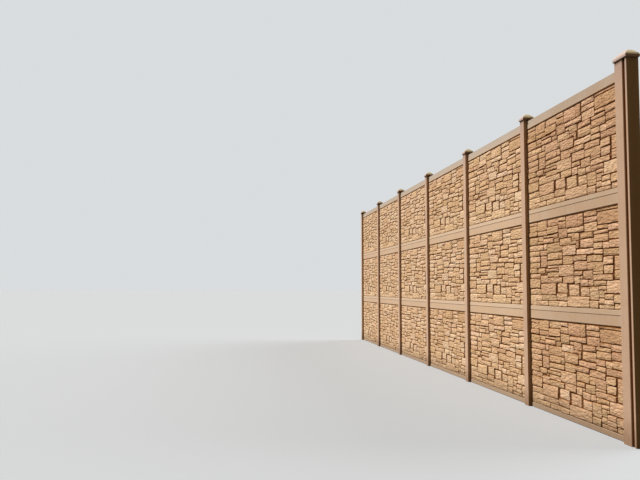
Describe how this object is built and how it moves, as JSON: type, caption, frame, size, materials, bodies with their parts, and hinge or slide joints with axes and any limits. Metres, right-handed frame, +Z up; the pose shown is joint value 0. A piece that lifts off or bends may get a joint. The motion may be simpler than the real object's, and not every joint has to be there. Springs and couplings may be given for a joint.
{
  "type": "privacy fence of moulded stone-look panels",
  "caption": "Tall privacy fence run of moulded stone-look panels stacked between channelled posts with low hipped caps, ending at a corner post.",
  "frame": {"origin": "middle of the foot of the third line post from the corner, at ground level", "axes": "+X along the fence towards the corner post, +Y away from the road, +Z up; the road side faces -Y"},
  "size_m": [14.8804, 0.151, 3.7996],
  "materials": {
    "panel_plastic": "moulded stone relief, mottled tan",
    "post_plastic": "smooth with a light grain, tan",
    "cap_plastic": "smooth, tan"
  },
  "bodies": {
    "root": {"corner_post": "post_plastic", "line_post_1": "post_plastic", "line_post_2": "post_plastic", "line_post_3": "post_plastic", "line_post_4": "post_plastic", "line_post_5": "post_plastic", "line_post_6": "post_plastic", "corner_post_cap": "cap_plastic", "post_cap_1": "cap_plastic", "post_cap_2": "cap_plastic", "post_cap_3": "cap_plastic", "post_cap_4": "cap_plastic", "post_cap_5": "cap_plastic", "post_cap_6": "cap_plastic", "panel_bay_1_bottom": "panel_plastic", "panel_bay_1_middle": "panel_plastic", "panel_bay_1_top": "panel_plastic", "panel_bay_2_bottom": "panel_plastic", "panel_bay_2_middle": "panel_plastic", "panel_bay_2_top": "panel_plastic", "panel_bay_3_bottom": "panel_plastic", "panel_bay_3_middle": "panel_plastic", "panel_bay_3_top": "panel_plastic", "panel_bay_4_bottom": "panel_plastic", "panel_bay_4_middle": "panel_plastic", "panel_bay_4_top": "panel_plastic", "panel_bay_5_bottom": "panel_plastic", "panel_bay_5_middle": "panel_plastic", "panel_bay_5_top": "panel_plastic", "panel_bay_6_bottom": "panel_plastic", "panel_bay_6_middle": "panel_plastic", "panel_bay_6_top": "panel_plastic"}
  },
  "joints": []
}
